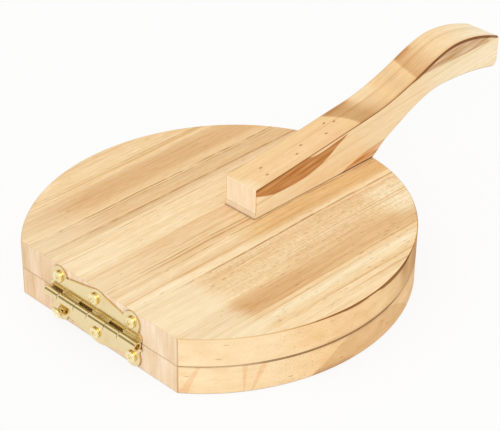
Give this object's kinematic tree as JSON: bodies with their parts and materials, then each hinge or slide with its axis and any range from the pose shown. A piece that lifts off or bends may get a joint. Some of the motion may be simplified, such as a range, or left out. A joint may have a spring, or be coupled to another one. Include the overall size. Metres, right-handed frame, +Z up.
{
  "type": "tortilla press",
  "caption": "Small wooden tortilla press: two oval plates hinged at a flat edge by a brass butterfly hinge, with a swan-neck lever handle on the lid.",
  "frame": {"origin": "centre of the oval on the underside of the base plate, on the surface that the press stands on", "axes": "+Z up; +Y towards the flat hinge edge, so the handle points towards -Y; +X along the hinge pin, to the left for someone facing the hinge from outside"},
  "size_m": [0.132, 0.206, 0.0532],
  "materials": {
    "base_wood": "sanded pale pine, unvarnished, grain along Y",
    "lid_wood": "sanded pale pine with tan stripes, grain along Y",
    "handle_wood": "sanded pale pine with a reddish-brown heartwood streak",
    "hinge_brass": "bright pressed sheet",
    "screw_brass": "bright domed heads",
    "screw_steel": "zinc plated"
  },
  "bodies": {
    "base": {"base_plate": "base_wood", "hinge_leaf_lower": "hinge_brass", "hinge_pin": "hinge_brass", "lower_screw_left": "screw_brass", "lower_screw_centre": "screw_brass", "lower_screw_right": "screw_brass"},
    "lid": {"lid_plate": "lid_wood", "handle": "handle_wood", "hinge_leaf_upper": "hinge_brass", "upper_screw_left": "screw_brass", "upper_screw_centre": "screw_brass", "upper_screw_right": "screw_brass", "handle_screw_inner": "screw_steel", "handle_screw_outer": "screw_steel"}
  },
  "joints": [
    {"name": "lid_hinge", "type": "hinge", "parent": "base", "child": "lid", "pos_m": [0, 0.06025, 0.011], "axis": [-1, 0, 0], "range_deg": [0, 168]}
  ]
}
